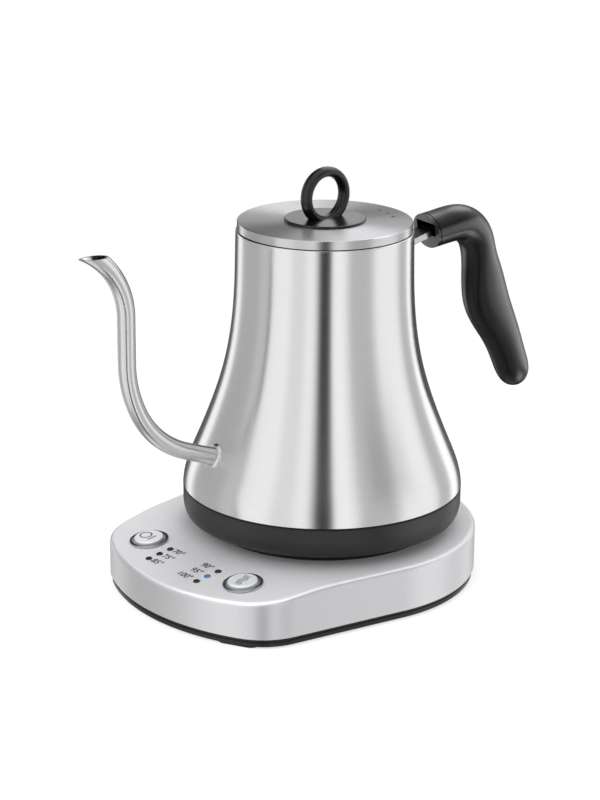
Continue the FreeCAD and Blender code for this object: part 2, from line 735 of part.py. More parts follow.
def build_handle():
    """The moulded grip, the welded bar that it slides onto and the screws that hold it."""
    half = TANG_T / 2
    grip = Part.makeLoft([handle_section(*section) for section in HANDLE_SECTIONS], True, False)
    grip = grip.cut(handle_seam())
    grip = grip.cut(along_bar(TANG_LEN + TANG_FIT, TANG_W + 2 * TANG_FIT, -half - TANG_FIT, half + TANG_FIT))
    grip = grip.cut(along_bar(SLOT_MOUTH_END, SLOT_MOUTH_W, -half - TANG_FIT, half + SLOT_MOUTH_RISE))
    bar = along_bar(TANG_LEN, TANG_W, -half, half)
    for x in HANDLE_SCREW_X:
        low = HANDLE_SCREW_Z - 12
        grip = grip.cut(cylinder(2.8, low, HANDLE_SCREW_Z, x))
        grip = grip.cut(cylinder(1.6, low, HANDLE_SCREW_Z + 8, x))
        bar = bar.cut(cylinder(1.3, low, HANDLE_SCREW_Z + 18, x))
    save("handle", grip)
    save("handle_bar", bar.cut(vessel_solid(0)))
    screws = [screw(x, 0, HANDLE_SCREW_Z, HANDLE_SCREW_Z + 8, 2.5, 1.25) for x in HANDLE_SCREW_X]
    save("handle_screws", Part.makeCompound(screws))


# Lid

def build_lid():
    """The steel cap, the sleeve that centres it in the neck, its gasket and the knob."""
    cap = revolved((
        (0, LID_TOP - WALL),
        (LID_R - WALL, LID_TOP - WALL),
        (LID_R - WALL, LID_BOTTOM),
        (LID_R, LID_BOTTOM),
        (LID_R, LID_TOP),
        (0, LID_TOP),
    ))
    rim = [e for e in cap.Edges if e.CenterOfMass.z > LID_TOP - 0.01 and e.BoundBox.XMax > LID_R - 0.1]
    cap = cap.makeFillet(0.5, rim)
    for i in (-1, 0, 1):
        vent = polar(VENT_CIRCLE, VENT_YAW + VENT_STEP * i)
        cap = cap.cut(cylinder(VENT_R, LID_BOTTOM, LID_TOP + 1, vent.x, vent.y))
    cap = cap.cut(cylinder(2.2, LID_BOTTOM, LID_TOP + 1))
    save("lid_cap", cap)

    groove_top = SLEEVE_BOTTOM + 6.5
    groove_low = SLEEVE_BOTTOM + 4.0
    liner = revolved((
        (0, SLEEVE_BOTTOM),
        (SLEEVE_R, SLEEVE_BOTTOM),
        (SLEEVE_R, groove_low),
        (SLEEVE_R - 1.2, groove_low),
        (SLEEVE_R - 1.2, groove_top),
        (SLEEVE_R, groove_top),
        (SLEEVE_R, LID_BOTTOM),
        (LID_R - WALL - 0.1, LID_BOTTOM),
        (LID_R - WALL - 0.1, LID_BOTTOM + 0.8),
        (SLEEVE_R - 2.2, LID_BOTTOM + 0.8),
        (SLEEVE_R - 2.2, SLEEVE_BOTTOM + 1.0),
        (0, SLEEVE_BOTTOM + 1.0),
    ))
    for i in range(6):
        slot = polar(26.0, 60 * i)
        liner = liner.cut(cylinder(2.0, SLEEVE_BOTTOM - 1, SLEEVE_BOTTOM + 2, slot.x, slot.y))
    save("lid_liner", liner)
    save("lid_gasket", revolved((
        (SLEEVE_R - 1.15, groove_low + 0.05),
        (SLEEVE_R + 0.2, groove_low + 0.05),
        (NECK_R - SLACK, groove_low + 1.25),
        (SLEEVE_R + 0.2, groove_top - 0.05),
        (SLEEVE_R - 1.15, groove_top - 0.05),
    )))

    disc = cylinder(KNOB_DISC_R, LID_TOP, KNOB_DISC_TOP)
    disc = disc.makeFillet(0.6, [e for e in disc.Edges if e.CenterOfMass.z > KNOB_DISC_TOP - 0.01])
    section = Part.Wire(Part.Ellipse(ORIGIN, RING_HALF_WIDE, RING_HALF_THICK).toShape())
    section.Placement = FreeCAD.Placement(V(RING_R, 0, 0), FreeCAD.Rotation(V(1, 0, 0), 90))
    section.rotate(V(RING_R, 0, 0), V(0, 1, 0), 90)
    loop = Part.Face(section).revolve(ORIGIN, UP, 360)
    loop = turned(loop, 90, V(1, 0, 0))
    loop.translate(V(0, 0, RING_Z))
    loop = loop.cut(cylinder(30, LID_TOP - 20, LID_TOP))
    knob = fused([disc, turned(loop, LID_YAW)])
    knob = knob.cut(cylinder(1.2, LID_TOP - 1, LID_TOP + KNOB_SCREW_REACH + SLACK))
    save("lid_knob", knob)

    save("knob_screw", screw(0, 0, LID_TOP - WALL - 0.8, LID_TOP + KNOB_SCREW_REACH, 2.8, 1.15, 1.2))
    save("knob_washer", ring(1.3, 6.0, LID_TOP - WALL - 0.8, LID_TOP - WALL))


def main():
    """Builds every piece and writes it to the parts folder."""
    os.makedirs("parts", exist_ok=True)
    build_cover()
    build_chassis()
    build_tray()
    build_panel()
    build_connector()
    build_power_side()
    build_vessel()
    build_skirt()
    build_handle()
    build_lid()


main()
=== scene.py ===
"""Looks of an electric gooseneck kettle on its power base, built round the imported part.

Sizes are in millimetres in the part's own frame: the origin is on the table under the middle of the
kettle, the spout points along -X, the handle along +X and Z is up.
"""

import logging
import math
from dataclasses import dataclass
from enum import Enum

import bmesh
import bpy
import numpy as np
from mathutils import Matrix, Vector

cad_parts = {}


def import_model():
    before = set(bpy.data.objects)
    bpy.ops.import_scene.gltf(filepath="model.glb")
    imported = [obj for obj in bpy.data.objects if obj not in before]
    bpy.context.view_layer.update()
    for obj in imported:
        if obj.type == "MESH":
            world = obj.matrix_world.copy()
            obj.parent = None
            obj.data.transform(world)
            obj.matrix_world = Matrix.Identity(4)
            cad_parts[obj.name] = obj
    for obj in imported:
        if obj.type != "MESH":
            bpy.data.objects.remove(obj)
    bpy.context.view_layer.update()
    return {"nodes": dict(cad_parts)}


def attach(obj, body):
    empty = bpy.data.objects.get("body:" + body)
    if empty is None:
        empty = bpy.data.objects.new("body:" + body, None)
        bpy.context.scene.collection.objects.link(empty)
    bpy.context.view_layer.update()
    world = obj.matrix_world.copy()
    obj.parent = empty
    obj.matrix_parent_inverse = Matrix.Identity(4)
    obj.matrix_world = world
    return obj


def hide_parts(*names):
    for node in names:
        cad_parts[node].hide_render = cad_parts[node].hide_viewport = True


MM = 0.001
TOUCHING = 1e-7
QUARTER_TURN = 0.25
NOISE_SPAN = (0.25, 0.75)
log = logging.getLogger("kettle")


def linear(hex_colour: str) -> tuple[float, float, float, float]:
    """Turns an sRGB hex value into a linear colour.

    Args:
        hex_colour: a value such as "#c8c8c8".

    Returns:
        Red, green, blue and an alpha of one.
    """
    parts = np.array([int(hex_colour[i:i + 2], 16) for i in (1, 3, 5)]) / 255
    values = np.where(parts <= 0.04045, parts / 12.92, ((parts + 0.055) / 1.055) ** 2.4)
    return (*values.tolist(), 1.0)


def add(tree: bpy.types.NodeTree, kind: str, sockets: dict | None = None, **settings) -> bpy.types.Node:
    """Adds one node with its settings, socket values and links.

    Args:
        tree: the node tree that gets the node.
        kind: the node's type without its "ShaderNode" prefix.
        sockets: input name or number to a value, or to the output that is linked into it.
        settings: the node's own properties.

    Returns:
        The new node.
    """
    node = tree.nodes.new("ShaderNode" + kind)
    for name, value in settings.items():
        setattr(node, name, value)
    for name, value in (sockets or {}).items():
        if isinstance(value, bpy.types.NodeSocket):
            tree.links.new(value, node.inputs[name])
        else:
            node.inputs[name].default_value = value
    return node


def spline(knots: np.ndarray, values: np.ndarray, at: np.ndarray) -> np.ndarray:
    """Smooth curve through values: a cubic spline whose end pieces run on into their neighbours.

    Between two knots the value is the straight line plus the cubic that the second derivatives at the
    two knots bend it by, and these come from one linear system for equal slopes at the inner knots.

    Args:
        knots: rising parameters, one for each row of values.
        values: one column for each quantity.
        at: the parameters to work the curve out at.

    Returns:
        One row for each parameter.
    """
    n = len(knots)
    step = np.diff(knots)
    slope = np.diff(values, axis=0) / step[:, None]
    system = np.zeros((n, n))
    inner = np.arange(1, n - 1)
    system[inner, inner - 1] = step[:-1]
    system[inner, inner] = 2 * (step[:-1] + step[1:])
    system[inner, inner + 1] = step[1:]
    system[0, :3] = step[1], -step[0] - step[1], step[0]
    system[-1, -3:] = step[-1], -step[-1] - step[-2], step[-2]
    right = np.zeros_like(values)
    right[1:-1] = 6 * np.diff(slope, axis=0)
    bend = np.linalg.solve(system, right)
    i = np.clip(np.searchsorted(knots, at) - 1, 0, n - 2)
    h = step[i][:, None]
    a = (knots[i + 1] - at)[:, None]
    b = (at - knots[i])[:, None]
    straight = values[i] * a / h + values[i + 1] * b / h
    return straight + bend[i] * (a ** 3 / h - a * h) / 6 + bend[i + 1] * (b ** 3 / h - b * h) / 6


def smooth_step(low: float, high: float, x: np.ndarray) -> np.ndarray:
    """Rises from 0 at low to 1 at high with level ends: 3t^2 - 2t^3."""
    t = np.clip((x - low) / (high - low), 0, 1)
    return t * t * (3 - 2 * t)


def placed(name: str, mesh: bpy.types.Mesh) -> bpy.types.Object:
    """Puts a mesh into the scene as an object at the origin."""
    piece = bpy.data.objects.new(name, mesh)
    bpy.context.scene.collection.objects.link(piece)
    return piece


def settled(name: str, merged: bmesh.types.BMesh) -> bpy.types.Object:
    """Turns a mesh that is still being edited into an object, and frees it."""
    mesh = bpy.data.meshes.new(name)
    merged.to_mesh(mesh)
    merged.free()
    return placed(name, mesh)


def skin(name: str, points: np.ndarray, around: bool = False, along: bool = False,
         sharp: float = 40.0) -> bpy.types.Object:
    """Makes an object from a grid of points, four neighbours to a face.

    Args:
        name: the object's name.
        points: rows by columns by 3, in millimetres.
        around: the last column joins the first.
        along: the last row joins the first.
        sharp: edges that turn by more than this many degrees stay sharp.

    Returns:
        The object, with a UV map whose u runs along the columns and v along the rows.
    """
    rows, cols = points.shape[:2]
    index = np.arange(rows * cols).reshape(rows, cols)
    if around:
        index = np.concatenate([index, index[:, :1]], axis=1)
    if along:
        index = np.concatenate([index, index[:1]], axis=0)
    v, u = np.meshgrid(np.linspace(0, 1, index.shape[0]), np.linspace(0, 1, index.shape[1]), indexing="ij")
    spots = np.stack([u, v], axis=-1)
    corners = [np.s_[:-1, :-1], np.s_[:-1, 1:], np.s_[1:, 1:], np.s_[1:, :-1]]
    faces = np.stack([index[c] for c in corners], axis=-1).reshape(-1, 4)
    uv = np.stack([spots[c] for c in corners], axis=-2).reshape(-1, 4, 2)
    flat = points.reshape(-1, 3) * MM
    a, b, c, d = (flat[faces[:, k]] for k in range(4))
    volume = np.einsum("ij,ij->", a, np.cross(b, c)) + np.einsum("ij,ij->", a, np.cross(c, d))
    if around and volume < 0:
        faces, uv = faces[:, ::-1], uv[:, ::-1]
    mesh = bpy.data.meshes.new(name)
    mesh.from_pydata(flat.tolist(), [], faces.tolist())
    mesh.uv_layers.new(name="surface").data.foreach_set("uv", uv.reshape(-1))
    merged = bmesh.new()
    merged.from_mesh(mesh)
    bmesh.ops.remove_doubles(merged, verts=merged.verts, dist=TOUCHING)
    merged.to_mesh(mesh)
    merged.free()
    mesh.shade_smooth()
    mesh.set_sharp_from_angle(angle=math.radians(sharp))
    return placed(name, mesh)


class Brush(Enum):
    """Which way the scratches of a brushed metal run."""

    ROUND = "round the upright axis"
    ACROSS = "round the piece, along its u"


@dataclass(frozen=True)
class Finish:
    """What the finishes share: a name and a material that is made once."""

    name: str
    colour: str
    roughness: float

    def material(self) -> bpy.types.Material:
        """The material, made the first time that it is asked for."""
        made = bpy.data.materials.get(self.name)
        if made is None:
            made = bpy.data.materials.new(self.name)
            made.use_nodes = True
            self.fill(made.node_tree, made.node_tree.nodes["Principled BSDF"])
        return made

    def fill(self, tree: bpy.types.NodeTree, shader: bpy.types.Node) -> None:
        """Sets the shader's sockets and adds the nodes of its pattern."""
        shader.inputs["Base Color"].default_value = linear(self.colour)
        shader.inputs["Roughness"].default_value = self.roughness

    def grain(self, tree: bpy.types.NodeTree, size: float, detail: float = 2.0) -> bpy.types.Node:
        """A noise whose spots are about size millimetres across.

        Args:
            tree: the material's nodes.
            size: the size of a spot.
            detail: how many finer layers the noise has.

        Returns:
            The noise node.
        """
        place = add(tree, "TexCoord")
        return add(tree, "TexNoise", {"Vector": place.outputs["Object"], "Scale": 1 / (size * MM),
                                      "Detail": detail, "Roughness": 0.55})

    def tone(self, tree: bpy.types.NodeTree, shader: bpy.types.Node, factor: bpy.types.NodeSocket,
             second: str) -> None:
        """Lets a pattern shift the colour towards a second one."""
        mix = add(tree, "Mix", {0: factor, 6: linear(self.colour), 7: linear(second)}, data_type="RGBA")
        tree.links.new(mix.outputs[2], shader.inputs["Base Color"])

    def vary(self, tree: bpy.types.NodeTree, shader: bpy.types.Node, factor: bpy.types.NodeSocket,
             second: str, spread: float) -> None:
        """Lets a pattern shift the colour towards a second one and the roughness by spread."""
        self.tone(tree, shader, factor, second)
        low, high = NOISE_SPAN
        rough = add(tree, "MapRange", {"Value": factor, "From Min": low, "From Max": high,
                                       "To Min": self.roughness - spread, "To Max": self.roughness + spread})
        tree.links.new(rough.outputs["Result"], shader.inputs["Roughness"])

    def emboss(self, tree: bpy.types.NodeTree, shader: bpy.types.Node, height: bpy.types.NodeSocket,
               depth: float, strength: float) -> None:
        """Lets a pattern raise the surface by up to depth millimetres."""
        bump = add(tree, "Bump", {"Height": height, "Distance": depth * MM, "Strength": strength})
        tree.links.new(bump.outputs["Normal"], shader.inputs["Normal"])


@dataclass(frozen=True)
class BrushedSteel(Finish):
    """Stainless steel brushed with an abrasive belt.

    The eye sees fine lines along the brushing, and reflections that smear across them. Real scratches are
    finer than one pitch, and these are drawn as coarse as they need to be to show.
    """

    second: str = "#d0d0cf"
    brush: Brush = Brush.ROUND
    anisotropy: float = 0.9
    pitch: float = 0.45
    run: float = 60.0
    mean_r: float = 50.0
    girth: float = 27.0
    length: float = 299.0
    depth: float = 0.004
    spread: float = 0.035

    def fill(self, tree: bpy.types.NodeTree, shader: bpy.types.Node) -> None:
        """Metal with streaks that are one pitch wide and one run long.

        Round an axis the run is measured at the mean radius. On a UV map the piece's girth and length are
        what u and v cover. The shader's tangent lies along the streaks, so the smear is turned across them.
        """
        super().fill(tree, shader)
        shader.inputs["Metallic"].default_value = 1.0
        place = add(tree, "TexCoord")
        if self.brush is Brush.ROUND:
            at = add(tree, "SeparateXYZ", {0: place.outputs["Object"]})
            turn = add(tree, "Math", {0: at.outputs["Y"], 1: at.outputs["X"]}, operation="ARCTAN2")
            flat = add(tree, "CombineXYZ", {0: at.outputs["X"], 1: at.outputs["Y"]})
            reach = add(tree, "VectorMath", {0: flat.outputs[0]}, operation="LENGTH")
            rolled = add(tree, "CombineXYZ", {0: turn.outputs[0], 1: reach.outputs["Value"],
                                              2: at.outputs["Z"]})
            scale = (self.mean_r / self.run, 1 / (self.pitch * MM), 1 / (self.pitch * MM))
            guide = add(tree, "Tangent", direction_type="RADIAL", axis="Z")
        else:
            at = add(tree, "SeparateXYZ", {0: place.outputs["UV"]})
            rolled = add(tree, "CombineXYZ", {0: at.outputs["X"], 1: at.outputs["Y"]})
            scale = (self.girth / self.run, self.length / self.pitch, 1.0)
            guide = add(tree, "Tangent", direction_type="UV_MAP", uv_map="surface")
        lay = add(tree, "VectorMath", {0: rolled.outputs[0], 1: scale}, operation="MULTIPLY")
        lines = add(tree, "TexNoise", {"Vector": lay.outputs[0], "Scale": 1.0, "Detail": 3.0,
                                       "Roughness": 0.6})
        shader.inputs["Anisotropic"].default_value = self.anisotropy
        shader.inputs["Anisotropic Rotation"].default_value = QUARTER_TURN
        tree.links.new(guide.outputs[0], shader.inputs["Tangent"])
        self.vary(tree, shader, lines.outputs[0], self.second, self.spread)
        self.emboss(tree, shader, lines.outputs[0], self.depth, 0.5)


@dataclass(frozen=True)
class PressedSteel(Finish):
    """Stainless steel sheet, pressed and then blasted on its level face.

    The eye sees a soft, almost even grey on top and wider, clearer bands of light on the walls.
    """

    second: str = "#d1d1d3"
    top_roughness: float = 0.72
    wall_ends: float = 0.7
    top_starts: float = 0.97
    grit: float = 0.5
    drift: float = 0.08
    depth: float = 0.004

    def fill(self, tree: bpy.types.NodeTree, shader: bpy.types.Node) -> None:
        """Metal with a fine grit, whose roughness grows as the upward part of its normal does."""
        super().fill(tree, shader)
        shader.inputs["Metallic"].default_value = 1.0
        fine = self.grain(tree, self.grit, 3.0)
        self.tone(tree, shader, fine.outputs[0], self.second)
        surface = add(tree, "NewGeometry")
        facing = add(tree, "SeparateXYZ", {0: surface.outputs["Normal"]})
        level = add(tree, "MapRange", {"Value": facing.outputs["Z"], "From Min": self.wall_ends,
                                       "From Max": self.top_starts, "To Min": self.roughness,
                                       "To Max": self.top_roughness})
        rough = add(tree, "Math", {0: fine.outputs[0], 1: self.drift, 2: level.outputs["Result"]},
                    operation="MULTIPLY_ADD")
        tree.links.new(rough.outputs[0], shader.inputs["Roughness"])
        self.emboss(tree, shader, fine.outputs[0], self.depth, 0.5)


@dataclass(frozen=True)
class Plated(Finish):
    """Metal with a smooth plated, cast or turned surface.

    The eye sees clear reflections that are clouded a little by handling marks.
    """

    second: str = "#b8b8b8"
    spot: float = 3.0
    spread: float = 0.03

    def fill(self, tree: bpy.types.NodeTree, shader: bpy.types.Node) -> None:
        """Metal whose colour and roughness drift in soft clouds."""
        super().fill(tree, shader)
        shader.inputs["Metallic"].default_value = 1.0
        clouds = self.grain(tree, self.spot)
        self.vary(tree, shader, clouds.outputs[0], self.second, self.spread)


@dataclass(frozen=True)
class Moulded(Finish):
    """Plastic or rubber from a mould with a fine eroded texture.

    The eye sees a soft highlight broken up by grain, and slow drifts of tone from handling.
    """

    second: str = "#202021"
    cloud: float = 14.0
    spread: float = 0.04
    grit: float = 0.6
    depth: float = 0.02
    gloss: float = 0.5
    ior: float = 1.5

    def fill(self, tree: bpy.types.NodeTree, shader: bpy.types.Node) -> None:
        """Fine grain that raises the surface, and broad clouds that shift tone and gloss."""
        super().fill(tree, shader)
        shader.inputs["IOR"].default_value = self.ior
        shader.inputs["Specular IOR Level"].default_value = self.gloss
        clouds = self.grain(tree, self.cloud)
        self.vary(tree, shader, clouds.outputs[0], self.second, self.spread)
        fine = self.grain(tree, self.grit, 3.0)
        self.emboss(tree, shader, fine.outputs[0], self.depth, 0.35)


@dataclass(frozen=True)
class Acrylic(Finish):
    """Clear or smoked acrylic lens, polished, that may be lit from behind.

    The eye sees a sharp small highlight over a deep colour, or an even glow that is paler in the middle.
    """

    glow: str = "#000000"
    level: float = 0.0
    ior: float = 1.49
    coat: float = 0.5
    cloud: float = 1.2
    haze: float = 0.1

    def fill(self, tree: bpy.types.NodeTree, shader: bpy.types.Node) -> None:
        """Polished plastic with a faint cloud inside, and its glow."""
        super().fill(tree, shader)
        shader.inputs["IOR"].default_value = self.ior
        shader.inputs["Coat Weight"].default_value = self.coat
        shader.inputs["Emission Strength"].default_value = self.level
        shader.inputs["Emission Color"].default_value = linear(self.glow)
        clouds = self.grain(tree, self.cloud)
        rough = add(tree, "MapRange", {"Value": clouds.outputs[0], "To Min": self.roughness,
                                       "To Max": self.roughness + self.haze})
        tree.links.new(rough.outputs["Result"], shader.inputs["Roughness"])


@dataclass(frozen=True)
class Board(Finish):
    """Glass-fibre circuit board under solder mask.

    The eye sees a deep green with slightly raised copper tracks in straight runs.
    """

    track: str = "#2f6b46"
    cell: float = 4.0
    row_share: float = 0.4
    track_share: float = 0.06
    spread: float = 0.05
    depth: float = 0.03

    def fill(self, tree: bpy.types.NodeTree, shader: bpy.types.Node) -> None:
        """Tracks from the joints of a brick pattern that is one cell long."""
        super().fill(tree, shader)
        place = add(tree, "TexCoord")
        tracks = add(tree, "TexBrick", {"Vector": place.outputs["Object"], "Scale": 1 / (self.cell * MM),
                                        "Mortar Size": self.track_share, "Brick Width": 1.0,
                                        "Row Height": self.row_share})
        self.vary(tree, shader, tracks.outputs["Fac"], self.track, self.spread)
        self.emboss(tree, shader, tracks.outputs["Fac"], self.depth, 0.4)


@dataclass(frozen=True)
class Ink(Finish):
    """Screen-printed ink. The eye sees a flat matt mark with slightly uneven cover."""

    second: str = "#6a6a6c"
    spot: float = 0.4
    spread: float = 0.05

    def fill(self, tree: bpy.types.NodeTree, shader: bpy.types.Node) -> None:
        """Matt colour with uneven cover in small spots."""
        super().fill(tree, shader)
        cover = self.grain(tree, self.spot)
        self.vary(tree, shader, cover.outputs[0], self.second, self.spread)


@dataclass(frozen=True)
class PaintedGlow(Finish):
    """Painted light from the lit lens on to the metal: a ring that glows by itself, not lamp light. It fades
    with the piece's own attribute.
    """

    level: float = 1.0

    def fill(self, tree: bpy.types.NodeTree, shader: bpy.types.Node) -> None:
        """Painted glow that is clear at the edge and strongest in the middle."""
        super().fill(tree, shader)
        fade = add(tree, "Attribute", attribute_name="fade")
        shader.inputs["Emission Color"].default_value = linear(self.colour)
        shader.inputs["Emission Strength"].default_value = self.level
        tree.links.new(fade.outputs["Fac"], shader.inputs["Alpha"])


VESSEL_STEEL = BrushedSteel("stainless_steel_brushed_round_the_body", "#e0e0e0", 0.25, second="#dadada",
                            depth=0.0004, spread=0.008)
SPOUT_STEEL = BrushedSteel("stainless_steel_tube_brushed", "#d9d9d9", 0.2, second="#d3d3d3",
                           brush=Brush.ACROSS, pitch=1.15, run=13.5, depth=0.0008, spread=0.01)
LID_STEEL = BrushedSteel("stainless_steel_lid_brushed_in_circles", "#c9cacc", 0.32, second="#cfcfd1",
                         pitch=0.5)
BASE_STEEL = PressedSteel("stainless_steel_pressed_satin", "#e6e6e8", 0.38)
BAR_STEEL = Plated("stainless_steel_bar_polished", "#d2d1cf", 0.2)
CAP_ALUMINIUM = Plated("aluminium_button_blasted", "#e2e3e5", 0.7, second="#dbdcde")
BEZEL_CHROME = Plated("zinc_bezel_chrome_plated", "#bdbec1", 0.16, second="#b4b5b8")
CONTACT_BRASS = Plated("brass_contact_stamped", "#c9a65a", 0.28)
HEATER_ALUMINIUM = Plated("aluminium_heater_plate_cast", "#a9abad", 0.5, second="#8f9193", spot=1.2)
ELEMENT_STEEL = Plated("steel_heating_element_annealed", "#6d6a66", 0.45, second="#57504a")
SCREW_STEEL = Plated("steel_screw_zinc_plated", "#b5b8ba", 0.3)
SKIRT_PLASTIC = Moulded("abs_skirt_satin_black", "#0b0b0c", 0.42, second="#0f0f10", gloss=0.34)
HANDLE_PLASTIC = Moulded("nylon_handle_satin_black", "#050506", 0.3, second="#08080a", grit=0.5,
                         depth=0.01, gloss=0.22)
KNOB_PLASTIC = Moulded("nylon_knob_satin_black", "#060607", 0.25, second="#09090a", depth=0.002, gloss=0.5)
TRAY_PLASTIC = Moulded("abs_tray_satin_black", "#0f0f10", 0.36, second="#141415", gloss=0.4)
CONNECTOR_PLASTIC = Moulded("nylon_connector_black", "#1d1d1e", 0.5)
CHASSIS_PLASTIC = Moulded("abs_chassis_dark_grey", "#3a3b3d", 0.55, second="#424345")
LINER_PLASTIC = Moulded("polypropylene_liner_black", "#222223", 0.5)
SEAL_RUBBER = Moulded("rubber_seal_black", "#070708", 0.6, second="#0b0b0c", gloss=0.25)
GASKET_SILICONE = Moulded("silicone_gasket_grey", "#6f7173", 0.55, second="#797b7d")
COMPONENT_BLACK = Moulded("epoxy_component_black", "#1c1c1d", 0.5)
LENS_DARK = Acrylic("acrylic_lens_smoked", "#1c1c1e", 0.1)
LENS_LIT = Acrylic("acrylic_lens_lit_blue", "#3d5d80", 0.15, glow="#5f93cc", level=0.03)
LAMP_WHITE = Acrylic("epoxy_lamp_clear", "#e4e6e8", 0.15)
CIRCUIT_BOARD = Board("glass_fibre_circuit_board_green", "#235637", 0.4)
NUMBER_INK = Ink("screen_ink_dark_grey", "#262628", 0.6, second="#323234")
ICON_INK = Ink("screen_ink_mid_grey", "#7a7c7f", 0.6, second="#86888b")
# Painted light: a glowing ring stands in for the lit lens's light on the metal.
LENS_PAINTED_GLOW = PaintedGlow("blue_painted_lens_glow", "#bcd3ee", 0.5, level=0.06)

CAD_FINISHES: dict[str, Finish] = {
    "base_cover": BASE_STEEL, "base_chassis": CHASSIS_PLASTIC, "base_tray": TRAY_PLASTIC,
    "base_feet": SEAL_RUBBER, "base_screws": SCREW_STEEL, "button_bezels": BEZEL_CHROME,
    "indicator_lenses": LENS_DARK, "lit_indicator_lens": LENS_LIT, "control_board": CIRCUIT_BOARD,
    "button_switches": COMPONENT_BLACK, "indicator_lamps": LAMP_WHITE, "board_screws": SCREW_STEEL,
    "connector_socket": CONNECTOR_PLASTIC, "socket_contacts": CONTACT_BRASS, "seat_ring": SEAL_RUBBER,
    "power_board": CIRCUIT_BOARD, "relay": COMPONENT_BLACK, "supply_module": COMPONENT_BLACK,
    "cord_inlet": SEAL_RUBBER, "power_button": CAP_ALUMINIUM, "temperature_button": CAP_ALUMINIUM,
    "connector_plug": CONNECTOR_PLASTIC, "plug_contacts": CONTACT_BRASS, "vessel_shell": VESSEL_STEEL,
    "spout": SPOUT_STEEL, "spout_collar": SPOUT_STEEL, "vessel_floor": VESSEL_STEEL,
    "neck_ring": VESSEL_STEEL, "skirt": SKIRT_PLASTIC, "skirt_seal": SEAL_RUBBER,
    "underside_cover": CHASSIS_PLASTIC, "cover_screws": SCREW_STEEL, "heater_plate": HEATER_ALUMINIUM,
    "heating_element": ELEMENT_STEEL, "temperature_probe": SCREW_STEEL, "handle": HANDLE_PLASTIC,
    "handle_bar": BAR_STEEL, "handle_screws": SCREW_STEEL, "lid_cap": LID_STEEL,
    "lid_liner": LINER_PLASTIC, "lid_gasket": GASKET_SILICONE, "lid_knob": KNOB_PLASTIC,
    "knob_screw": SCREW_STEEL, "knob_washer": GASKET_SILICONE,
}


def dress(piece: bpy.types.Object, finish: Finish) -> None:
    """Gives a piece one finish in place of all that it had."""
    slots = piece.data.materials
    if not slots:
        slots.append(finish.material())
    for i in range(len(slots)):
        slots[i] = finish.material()


def mount(piece: bpy.types.Object, finish: Finish, body: str, slot: str, *nodes: str) -> None:
    """Finishes a new piece and fixes it to the part.

    Args:
        piece: the new object.
        finish: what it is made of.
        body: the CAD body that it rides on.
        slot: a material slot's name; not used.
        nodes: the CAD nodes that it stands for.
    """
    dress(piece, finish)
    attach(piece, body)
    if nodes:
        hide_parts(*nodes)
    log.info("%s: %d faces, %s", piece.name, len(piece.data.polygons), finish.name)


